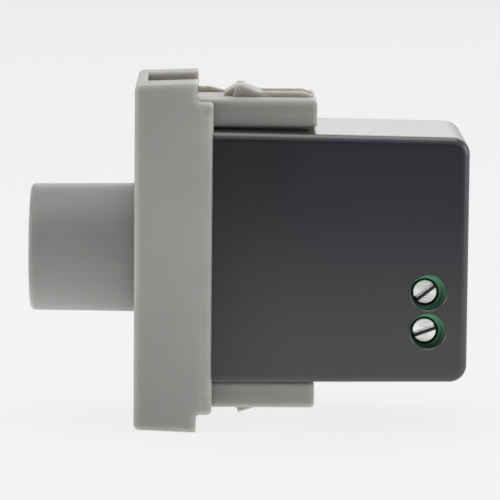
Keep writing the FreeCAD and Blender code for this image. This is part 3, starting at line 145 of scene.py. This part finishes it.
class Wire:
    """A socket in shader arithmetic; each operator adds one Math node."""

    def __init__(self, paint, socket):
        self.paint = paint
        self.socket = socket

    def apply(self, operation, *values):
        return self.paint.node("ShaderNodeMath", *values, settings={"operation": operation}).out()

    def __add__(self, other):
        return self.apply("ADD", self, other)

    def __radd__(self, other):
        return self.apply("ADD", other, self)

    def __sub__(self, other):
        return self.apply("SUBTRACT", self, other)

    def __rsub__(self, other):
        return self.apply("SUBTRACT", other, self)

    def __mul__(self, other):
        return self.apply("MULTIPLY", self, other)

    def __rmul__(self, other):
        return self.apply("MULTIPLY", other, self)

    def __truediv__(self, other):
        return self.apply("DIVIDE", self, other)

    def __pow__(self, other):
        return self.apply("POWER", self, other)

    def clamped(self):
        """Held between 0 and 1."""
        return self.apply("MINIMUM", self.apply("MAXIMUM", self, 0.0), 1.0)

    def step(self, start, end):
        """0 up to start, 1 from end on, straight between them; end may be the lower one."""
        return ((self - start) / (end - start)).clamped()

    def above(self, place, blur):
        """1 above a place and 0 below it, with a soft edge that reaches a blur each way."""
        return self.step(place - blur, place + blur)

    def below(self, place, blur):
        """1 below a place and 0 above it, with a soft edge that reaches a blur each way."""
        return self.step(place + blur, place - blur)

    def larger(self, other):
        return self.apply("MAXIMUM", self, other)

    def size(self):
        return self.apply("ABSOLUTE", self)

    def wave(self):
        return self.apply("SINE", self)

    def phase(self, pitch):
        """Angle that goes through a full turn each pitch of this length."""
        return self * (FULL_TURN / pitch)

    def angle_over(self, other):
        """Angle of the point whose height is this wire and whose run is the other."""
        return self.apply("ARCTAN2", self, other)


class Made:
    """A node just made: out() wraps one of its outputs."""

    def __init__(self, paint, node):
        self.paint = paint
        self.node = node

    def out(self, key=0):
        return Wire(self.paint, self.node.outputs[key])


class Paint:
    """Adds shader nodes to one node tree."""

    # places of a colour Mix node's sockets, whose names its other sockets share
    LOW_COLOUR, HIGH_COLOUR, MIXED_COLOUR = 6, 7, 2
    BRIGHTEST = 2.0

    def __init__(self, tree):
        self.tree = tree

    def link(self, value, socket):
        """Feeds a socket from a wire, or sets it to a value."""
        if isinstance(value, Wire):
            self.tree.links.new(value.socket, socket)
        elif socket.type == "RGBA" and len(value) == 3:
            socket.default_value = (*value, 1.0)
        else:
            socket.default_value = value

    def feed(self, node, **sockets):
        """Feeds a node's inputs by name; spaces in the names are written as _."""
        for key, value in sockets.items():
            self.link(value, node.inputs[key.replace("_", " ")])

    def node(self, kind, *values, settings=None, **sockets):
        """Adds a node, with its inputs by order or by name."""
        node = self.tree.nodes.new(kind)
        for key, value in (settings or {}).items():
            setattr(node, key, value)
        for index, value in enumerate(values):
            self.link(value, node.inputs[index])
        self.feed(node, **sockets)
        return Made(self, node)

    def place(self, scale=(1.0, 1.0, 1.0), turn=(0.0, 0.0, 0.0)):
        """Object coordinates in millimetres, scaled and turned."""
        where = self.node("ShaderNodeTexCoord").out("Object")
        size = tuple(value / MM for value in scale)
        return self.node("ShaderNodeMapping", Vector=where, Rotation=turn, Scale=size).out()

    def axis(self, where, name):
        """One of the three numbers of a vector."""
        return self.node("ShaderNodeSeparateXYZ", Vector=where).out(name)

    def axes(self):
        """Object coordinates in millimetres, one wire each."""
        split = self.node("ShaderNodeSeparateXYZ", Vector=self.place())
        return split.out("X"), split.out("Y"), split.out("Z")

    def noise(self, where, scale, detail=2.0):
        """Noise from 0 to 1, with its scale in cells per millimetre."""
        return self.node("ShaderNodeTexNoise", Vector=where, Scale=scale, Detail=detail).out("Fac")

    def mix(self, factor, low, high):
        """Colour between two colours."""
        made = self.node("ShaderNodeMix", factor, settings={"data_type": "RGBA"})
        self.link(low, made.node.inputs[self.LOW_COLOUR])
        self.link(high, made.node.inputs[self.HIGH_COLOUR])
        return made.out(self.MIXED_COLOUR)

    def scaled(self, colour, level):
        """Colour times a level that goes up to BRIGHTEST."""
        bright = tuple(value * self.BRIGHTEST for value in colour)
        return self.mix(level * (1.0 / self.BRIGHTEST), (0.0, 0.0, 0.0), bright)

    def bump(self, height, distance, **under):
        """Normal from a height, with the depth of a full step in millimetres."""
        made = self.node("ShaderNodeBump", Height=height, Distance=distance * MM, **under)
        return made.out("Normal")


# a coat's looks, and the mask(x, y, z) that is 1 where it is laid
Coat = namedtuple("Coat", "mask colour roughness metal", defaults=(0.0,))


def covered(cover, under, over):
    """Number that goes from under to over as the cover goes from 0 to 1."""
    return under * (1.0 - cover) + over * cover


def finished(
    name, colour, roughness, metal=0.0, grain=5.0, depth=0.005, mottle=0.06,
    stretch=(1.0, 1.0, 1.0), light=None, relief=None, coats=(), **constants,
):
    """Material from a base tone and coats laid over it where their masks are 1.

    The base is the colour times 1 plus fine grain, soft clouds and a few small rub marks,
    and times light(x, y, z), which paints light and shade into the tone.
    The normal is the grain's, then that of relief(x, y, z) and its depth.
    """
    material = bpy.data.materials.new(name)
    material.use_nodes = True
    paint = Paint(material.node_tree)
    x, y, z = paint.axes()
    fine = paint.noise(paint.place(stretch), grain, detail=3.0)
    cloud = paint.noise(paint.place(), CLOUD_SCALE)
    rub = paint.noise(paint.place(RUB_STRETCH, RUB_TURN), RUB_SCALE, detail=1.0).step(*RUB_EDGE)
    level = 1.0 + ((fine - 0.5) + (cloud - 0.5) * CLOUD_CONTRAST + rub) * mottle
    if light:
        level = level * light(x, y, z)
    tone = paint.scaled(colour, level)
    gloss = roughness + (cloud - 0.5) * CLOUD_ROUGHNESS + (fine - 0.5) * GRAIN_ROUGHNESS
    for coat in coats:
        cover = coat.mask(x, y, z)
        tone = paint.mix(cover, tone, coat.colour)
        gloss = covered(cover, gloss, coat.roughness)
        metal = covered(cover, metal, coat.metal)
    normal = paint.bump(fine, depth)
    if relief:
        height, rise = relief
        normal = paint.bump(height(x, y, z), rise, Normal=normal)
    shader = paint.tree.nodes["Principled BSDF"]
    paint.feed(
        shader, Base_Color=tone, Roughness=gloss, Metallic=metal, Normal=normal, **constants,
    )
    return material


def plated(name, colour, roughness=0.3, **more):
    """Plated metal: long fine drawing marks over soft patches of tone."""
    return finished(
        name, colour, roughness, metal=1.0, grain=16.0, depth=0.004, mottle=0.16,
        stretch=(1.0, 1.0, 0.12), **more,
    )


def moulded(name, colour, roughness, scatter=3.0, **more):
    """Grey moulded plastic, which light enters by about the given millimetres."""
    return finished(
        name, colour, roughness, Subsurface_Weight=1.0, Subsurface_Radius=(1.0, 0.9, 0.72),
        Subsurface_Scale=scatter * MM, **more,
    )


def corners(node):
    """Lowest and highest corner of a node, in millimetres."""
    low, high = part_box(node)
    return Vector(low) / MM, Vector(high) / MM


def middle(node):
    """Middle of a node, in millimetres."""
    low, high = corners(node)
    return (low + high) / 2


def spread(y, z, centre):
    """Distance from the line along X through a centre."""
    back, up = y - centre.y, z - centre.z
    return (back * back + up * up) ** 0.5


plate_low, plate_high = corners("front_frame")
board_low, board_high = corners("circuit_board")
housing_top = corners("rear_housing")[1].z
screws = [middle("terminal_screw_upper"), middle("terminal_screw_lower")]


def frame_finish():
    """Moulded grey, with painted shade towards the plate's ends and face and on the arms.

    Painted shade is on the arms' outer halves, painted light in the notch round the latch tongue.
    """

    # painted shade on the plate's ends and face and on the arms, and painted light in the notch
    def light(x, y, z):
        upper_end = z.step(4.0, plate_high.z - 0.5) * 0.08
        lower_end = z.step(-4.0, plate_low.z + 1.5) * 0.14
        face = y.step(0.5, plate_low.y + 0.45) * 0.07
        plate = (upper_end + lower_end + face) * y.below(0.35, 0.25)
        across = x.above(NOTCH_FAR - 0.05, 0.15) * x.below(NOTCH_NEAR + 0.25, 0.15)
        behind = y.above(NOTCH_FRONT + 0.1, 0.2)
        notch = across * behind * z.above(NOTCH_FLOOR + 0.05, 0.2) * 0.3
        upper_arm = z.above(UPPER_ARM_MIDDLE, 0.3) * 0.16
        lower_arm = z.below(LOWER_ARM_MIDDLE, 0.3) * 0.08
        arms = (upper_arm + lower_arm) * y.above(0.9, 0.3)
        return 1.02 - plate + notch - arms

    return moulded("frame_grey", (0.270, 0.270, 0.257), 0.56, light=light)


def knob_finish():
    """Moulded grey, with painted light that makes the knob's underside a little paler."""

    # painted light from below on the knob's underside
    def light(x, y, z):
        return 1.0 + 0.2 * z.step(-3.0, -8.0)

    return moulded(
        "knob_grey", (0.205, 0.208, 0.198), 0.45, scatter=2.0, mottle=0.04, depth=0.003,
        light=light,
    )


def housing_finish():
    """Dark moulded plastic, with painted shade beside the frame and towards its top.

    It has a blue cast high up and to the rear, painted light low down in place of it, and a
    smoother top whose paler, warmer tone is painted sheen.
    """

    # painted shade beside the frame and towards the top, paler low down
    def light(x, y, z):
        along = 0.45 + 0.3 * y.step(0.6, 6.5) + 0.25 * y.step(6.5, 24.0)
        upright = 0.6 + 0.4 * z.step(16.0, 3.0) + 0.3 * z.step(3.0, -9.0)
        return along * upright

    def blue(x, y, z):
        return z.step(-8.0, 2.0) * y.step(8.0, 18.0) * 0.6

    # painted light low down and away from the frame, in a paler neutral tone
    def painted_low_light(x, y, z):
        return z.step(6.0, -12.0) * y.step(0.6, 12.0)

    # smoother top; its coat's paler, warmer tone is painted sheen
    def roof(x, y, z):
        return z.above(housing_top - HOUSING_FALL - 0.28, 0.25)

    coats = [
        Coat(blue, (0.0115, 0.0117, 0.0255), 0.30),
        Coat(painted_low_light, (0.030, 0.0305, 0.029), 0.30),
        Coat(roof, (0.030, 0.030, 0.025), 0.20),
    ]
    return finished(
        "housing_dark", (0.0175, 0.0175, 0.0212), 0.30, depth=0.003, mottle=0.05,
        light=light, coats=coats, IOR=1.6,
    )


def terminal_finish():
    """Green moulding, with painted shadow low down and to the rear of each screw."""

    def light(x, y, z):
        level = 1.0
        for screw in screws:
            rise = z - screw.z
            rear = (y - screw.y).step(1.3, 2.3)
            # painted shadow inside each access hole, round the screw
            shadow = rise.step(1.6, -0.2) * (0.3 + 0.4 * rear) + rise.step(-0.6, -1.6) * 0.25
            level = level - shadow * spread(y, z, screw).below(2.4, 0.05)
        return level

    return finished("terminal_green", (0.088, 0.375, 0.184), 0.35, light=light)


def under_face(x, y, z):
    """Legs of what stands on the board, from the board's face down."""
    return x.below(board_high.x, 0.02)


TINNED_LEGS = Coat(under_face, TIN, 0.3, 1.0)


def screw_finish(name, node, degrees):
    """Plated screw: turned rings on the head, a thread, and painted shade round the rim.

    Its slot's upper half has painted light, scuffed bare in speckles. Painted shadow darkens
    the lower half and the lower lip.
    """
    centre = middle(node)
    top = corners(node)[1].x
    rise = math.sin(math.radians(degrees))
    run = math.cos(math.radians(degrees))

    def over_slot(y, z):
        return (z - centre.z) * run - (y - centre.y) * rise

    # painted light on the slot's upper half, paler than the painted shadow below, with scuff
    # speckles
    def scuffs_and_slot_light(x, y, z):
        speckle = x.paint.noise(x.paint.place(), 5.0).step(0.40, 0.62)
        over = over_slot(y, z)
        upper = over.below(SCREW_SLOT_HALF, 0.04) * over.above(-0.15, 0.05)
        return upper * (0.15 + 0.8 * speckle)

    # painted shadow on the slot's lower half and the lower lip
    def painted_slot_shadow(x, y, z):
        over = over_slot(y, z)
        return over.below(-0.16, 0.04) * over.above(-SCREW_SLOT_HALF - 0.12, 0.04)

    # painted shade on the head's side just below its face
    def rim(x, y, z):
        return (top - x).step(0.12, 0.50) * spread(y, z, centre).step(1.30, 1.45)

    def turned(x, y, z):
        head = x.step(top - SCREW_HEAD_HEIGHT - 0.1, top - SCREW_HEAD_HEIGHT)
        rings = spread(y, z, centre).phase(SCREW_RING_PITCH).wave() * 0.08
        helix = x.phase(SCREW_THREAD_PITCH) + (z - centre.z).angle_over(y - centre.y)
        return covered(head, helix.wave(), rings)

    coats = [
        Coat(scuffs_and_slot_light, SCUFFED_SLOT_LIGHT, 0.25, 1.0),
        Coat(painted_slot_shadow, SLOT_SHADOW_STEEL, 0.45, 0.4),
        Coat(rim, RIM_SHADE, 0.6, 0.2),
    ]
    return finished(
        name, SCREW_PLATING, 0.16, metal=1.0, grain=9.0, depth=0.002, mottle=0.14,
        relief=(turned, 0.03), coats=coats,
    )


def board_finish():
    """Green mask on both faces, laminate at the edges, copper tracks on a grid."""

    def edge(x, y, z):
        return x.step(board_low.x, board_low.x + 0.05) * x.step(board_high.x, board_high.x - 0.05)

    def tracks(x, y, z):
        upright, level = y.phase(BOARD_TRACK_PITCH).wave(), z.phase(BOARD_TRACK_PITCH).wave()
        return upright.larger(level).step(0.90, 0.96) * 0.55

    coats = [Coat(tracks, (0.05, 0.30, 0.12), 0.3), Coat(edge, (0.45, 0.40, 0.22), 0.6)]
    return finished("board_green", (0.03, 0.17, 0.07), 0.3, relief=(tracks, 0.03), coats=coats)


def can_finish():
    """Dark sleeve with its pale polarity band, and the bare aluminium top with its vent cross."""
    centre = middle("electrolytic_capacitor")
    can_top = corners("electrolytic_capacitor")[1].x

    def band(x, y, z):
        return (y - centre.y).above(2.95, 0.05) * x.below(can_top - 0.1, 0.1)

    def bare_top(x, y, z):
        return x.above(can_top - 0.075, 0.025) * spread(y, z, centre).below(2.85, 0.05)

    def beside_cross(x, y, z):
        return (y - centre.y).size().step(0.05, 0.12) * (z - centre.z).size().step(0.05, 0.12)

    coats = [
        Coat(band, (0.55, 0.56, 0.58), 0.35),
        Coat(bare_top, (0.75, 0.75, 0.76), 0.3, 1.0),
        TINNED_LEGS,
    ]
    relief = (beside_cross, 0.04)
    return finished("can_sleeve", (0.03, 0.04, 0.08), 0.25, relief=relief, coats=coats)


def winding_finish():
    """Enamelled wire laid in close turns, with painted shade in the gaps between them."""

    def turns(x, y, z):
        return x.phase(2 * WINDING_PITCH).wave().size()

    # painted shade in the gaps between the turns
    def gaps(x, y, z):
        return turns(x, y, z).step(0.35, 0.05)

    return finished(
        "copper_wire", (0.60, 0.24, 0.09), 0.28, metal=1.0, grain=12.0, depth=0.002,
        mottle=0.12, stretch=(0.2, 1.0, 1.0), relief=(turns, 0.12),
        coats=[Coat(gaps, (0.10, 0.04, 0.02), 0.6, 0.3)],
    )


def bushing_finish():
    """Turned bushing with its fine thread, as a sine along a helix round the knob's axis."""
    thread_end = corners("pot_bushing")[1].y - 2.0

    def thread(x, y, z):
        helix = y.phase(BUSHING_THREAD_PITCH) + z.angle_over(x)
        return helix.wave() * y.step(thread_end, thread_end - 0.4)

    return plated("bushing_brass", BRASS, relief=(thread, 0.1))


def chip_finish():
    """Black epoxy with tinned feet on both sides."""
    centre = middle("control_chip")
    case_edge = corners("control_chip")[1].z - centre.z - CHIP_FOOT_REACH

    def feet(x, y, z):
        return (z - centre.z).size().above(case_edge, 0.02)

    return finished("chip_black", (0.02, 0.02, 0.021), 0.5, coats=[Coat(feet, TIN, 0.3, 1.0)])


def resistor_finish():
    """Dark glaze between tinned ends."""
    centre = middle("chip_resistors")
    glaze_edge = corners("chip_resistors")[1].z - centre.z - RESISTOR_END_LENGTH

    def ends(x, y, z):
        return (z - centre.z).size().above(glaze_edge, 0.02)

    return finished("resistor_glaze", (0.02, 0.02, 0.022), 0.3, coats=[Coat(ends, TIN, 0.35, 1.0)])


def transistor_finish():
    """Black epoxy, with bare metal at the legs and at the tab over the case."""
    case_foot = board_high.x + TRANSISTOR_LEG_HEIGHT
    case_top = corners("power_transistors")[1].x - TRANSISTOR_TAB_HEIGHT

    def legs(x, y, z):
        return x.below(case_foot, 0.02)

    def tab(x, y, z):
        return x.above(case_top, 0.01)

    coats = [Coat(legs, TIN, 0.3, 1.0), Coat(tab, TIN, 0.3, 1.0)]
    return finished("transistor_black", (0.018, 0.018, 0.019), 0.45, coats=coats)


# finishes by material slot, or by node where a node has one of its own
finishes = {
    "frame_grey": frame_finish(),
    # the frame's grey made paler and warmer, as painted light on the latch tongue's thin ribs and
    # fins
    "latch_tongue": moulded("latch_lit_grey", (0.300, 0.298, 0.281), 0.55),
    "knob_grey": knob_finish(),
    "housing_dark": housing_finish(),
    "terminal_green": terminal_finish(),
    "terminal_screw_upper": screw_finish("screw_upper", "terminal_screw_upper", 38.0),
    "terminal_screw_lower": screw_finish("screw_lower", "terminal_screw_lower", 20.0),
    "steel": plated("steel", (0.62, 0.62, 0.62)),
    "spring_steel": plated("spring_steel", (0.55, 0.55, 0.54)),
    "nickel_brass": plated("nickel_brass", BRASS),
    "tinned_brass": plated("tinned_brass", TIN, 0.35),
    "aluminium_plate": plated("aluminium_plate", (0.75, 0.75, 0.76), 0.4),
    "black_plastic": finished("black_plastic", (0.022, 0.022, 0.023), 0.5),
    "white_plastic": finished("white_plastic", (0.78, 0.78, 0.75), 0.4),
    "laminate_brown": finished("laminate_brown", (0.25, 0.14, 0.06), 0.5, mottle=0.2),
    "ferrite": finished("ferrite", (0.09, 0.09, 0.10), 0.7, mottle=0.2),
    "copper_wire": winding_finish(),
    "board_green": board_finish(),
    "can_sleeve": can_finish(),
    "capacitor_yellow": finished("capacitor_yellow", (0.75, 0.50, 0.05), 0.25, coats=[TINNED_LEGS]),
    "varistor_blue": finished(
        "varistor_blue", (0.04, 0.11, 0.38), 0.3, grain=1.2, depth=0.05, coats=[TINNED_LEGS],
    ),
    "fuse": finished("fuse_black", (0.022, 0.022, 0.023), 0.4, coats=[TINNED_LEGS]),
    "pot_bushing": bushing_finish(),
    "control_chip": chip_finish(),
    "chip_resistors": resistor_finish(),
    "power_transistors": transistor_finish(),
}
slots = {row["node"]: row["material_slot"] for row in frame["record"]["subparts"]}
for name, node in frame["nodes"].items():
    node.data.materials.clear()
    node.data.materials.append(finishes.get(name) or finishes[slots[name]])


def look_at(place, aim, roll=0.0):
    """Pose of a camera or lamp: -Z at the aim, X level, then rolled about its line."""
    back = (place - aim).normalized()
    level = Vector((0.0, 0.0, 1.0)).cross(back).normalized()
    up = back.cross(level)
    right = level * math.cos(roll) + up * math.sin(roll)
    rise = up * math.cos(roll) - level * math.sin(roll)
    turn = Matrix((right, rise, back)).transposed().to_4x4()
    return Matrix.Translation(place) @ turn


def add_camera():
    data = bpy.data.cameras.new("camera")
    data.sensor_width = SENSOR_WIDTH
    data.lens = FOCAL_PIXELS / PHOTO_SIZE * SENSOR_WIDTH
    data.clip_start = CAMERA_NEAREST
    data.clip_end = CAMERA_FARTHEST
    camera = bpy.data.objects.new("camera", data)
    camera.matrix_world = look_at(CAMERA_PLACE, CAMERA_AIM, CAMERA_ROLL)
    bpy.context.scene.collection.objects.link(camera)
    bpy.context.scene.camera = camera


def add_lamp(name, place, strength):
    """Square soft lamp aimed at the object; a strength of 1 glows as bright as white."""
    data = bpy.data.lights.new(name, "AREA")
    data.size = LAMP_SIZE
    data.energy = strength * math.pi * LAMP_SIZE * LAMP_SIZE
    lamp = bpy.data.objects.new(name, data)
    lamp.matrix_world = look_at(Vector(place), Vector(LAMP_AIM))
    lamp.visible_camera = False
    bpy.context.scene.collection.objects.link(lamp)


def tent_glow(paint, open_side, light):
    """Two wires: 1 for rays that see the tent itself, and its strength for every ray.

    Camera rays see its tone as it is written. So do mirrored rays, apart from where
    open_side is 1. All others, which only light the part, find the given light.
    """
    rays = paint.node("ShaderNodeLightPath")
    direct = (rays.out("Is Camera Ray") + rays.out("Is Transmission Ray")).clamped()
    mirrored = rays.out("Is Glossy Ray")
    seen = direct + mirrored
    room = 1.0 - open_side * (1.0 - DARK_SIDE)
    return seen, direct + mirrored * room + (1.0 - seen) * light


def add_table():
    """Pale table that keeps a faint shadow, in a tent of light that is open towards +X."""
    square = [(-1, -1), (1, -1), (1, 1), (-1, 1)]
    mesh = bpy.data.meshes.new("floor")
    places = [(x * TABLE_HALF, y * TABLE_HALF, cad_low.z) for x, y in square]
    mesh.from_pydata(places, [], [(0, 1, 2, 3)])
    floor = bpy.data.objects.new("floor", mesh)
    bpy.context.scene.collection.objects.link(floor)

    material = bpy.data.materials.new("floor")
    material.use_nodes = True
    paint = Paint(material.node_tree)
    depth = paint.axis(paint.place(), "X")
    tone = paint.mix(depth.step(FAR_EDGE, NEAR_EDGE), BACKDROP_FAR, BACKDROP_NEAR)
    seen, strength = tent_glow(paint, depth.step(*TABLE_DARK), TABLE_LIGHT)
    matt = paint.node("ShaderNodeBsdfDiffuse", Color=TABLE_COLOUR)
    glow = paint.node("ShaderNodeEmission", Color=tone, Strength=strength)
    share = GLOW_UNSEEN + seen * (GLOW_SEEN - GLOW_UNSEEN)
    both = paint.node("ShaderNodeMixShader", share, matt.out(), glow.out())
    paint.feed(paint.tree.nodes["Material Output"], Surface=both.out())
    mesh.materials.append(material)


def add_background():
    """Even pale background, which stands for the tent beyond the table."""
    world = bpy.data.worlds.new("studio")
    bpy.context.scene.world = world
    world.use_nodes = True
    sky = Paint(world.node_tree)
    way = sky.axis(sky.node("ShaderNodeTexCoord").out("Generated"), "X")
    seen, strength = tent_glow(sky, way.step(*WORLD_DARK), WORLD_LIGHT)
    sky.feed(sky.tree.nodes["Background"], Color=BACKDROP_FAR, Strength=strength)


add_camera()
add_table()
add_background()
for name, (place, strength) in LAMPS.items():
    add_lamp(name, place, strength)
bpy.context.scene.view_settings.view_transform = "Standard"
